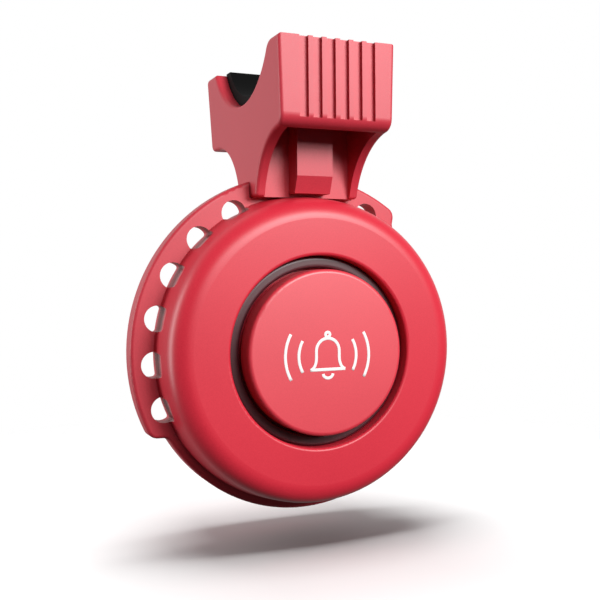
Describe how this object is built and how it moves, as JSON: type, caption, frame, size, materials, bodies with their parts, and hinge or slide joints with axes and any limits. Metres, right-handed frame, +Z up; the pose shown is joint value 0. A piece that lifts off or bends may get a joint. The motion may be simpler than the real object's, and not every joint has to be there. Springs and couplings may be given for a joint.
{
  "type": "electric bicycle bell",
  "caption": "Electronic bicycle bell: round push-button sounder case hanging under a ribbed saddle bracket that straps on top of a handlebar.",
  "frame": {"origin": "where the handlebar rests: midway along the lowest line of the saddle's rubber liner, 11.1 mm below the bar's axis", "axes": "+X along the handlebar; -Y towards the rider, the way the button faces; +Z up, towards the bar"},
  "size_m": [0.0493, 0.0307, 0.0663],
  "materials": {
    "red_shell": "satin moulded, fine grain",
    "red_button": "satin moulded, fine grain",
    "black_rubber": "smooth matte rubber",
    "board": "green solder mask",
    "black_plastic": "moulded",
    "ferrite": "fired",
    "spring_steel": "drawn wire",
    "sounder_brass": "rolled",
    "contact_steel": "nickel plated",
    "cell_steel": "drawn can",
    "screw_steel": "zinc plated"
  },
  "bodies": {
    "root": {"front_shell": "red_shell", "base_plate": "red_shell", "bracket": "red_shell", "rear_housing": "red_shell", "saddle_liner": "black_rubber", "button_seal": "black_rubber", "case_gasket": "black_rubber", "circuit_board": "board", "switch_body": "black_plastic", "button_spring": "spring_steel", "driver_chip": "black_plastic", "boost_coil": "ferrite", "capacitors": "ferrite", "sounder_case": "black_plastic", "sounder_disc": "sounder_brass", "sounder_pins": "contact_steel", "front_cell": "cell_steel", "back_cell": "cell_steel", "battery_carrier": "black_plastic", "positive_contact": "contact_steel", "negative_contact": "contact_steel", "case_screws": "screw_steel", "foot_screws": "screw_steel", "board_screws": "screw_steel"},
    "button": {"button_cap": "red_button", "switch_plunger": "black_plastic"},
    "door": {"battery_door": "red_shell", "door_seal": "black_rubber"}
  },
  "joints": [
    {"name": "button_press", "type": "slide", "parent": "root", "child": "button", "axis": [0, 1, 0], "range_m": [0, 0.001], "deforming": ["button_spring"]},
    {"name": "door_twist", "type": "hinge", "parent": "root", "child": "door", "pos_m": [0, 0.008, -0.0443], "axis": [0, 1, 0], "range_deg": [0, 40]}
  ]
}
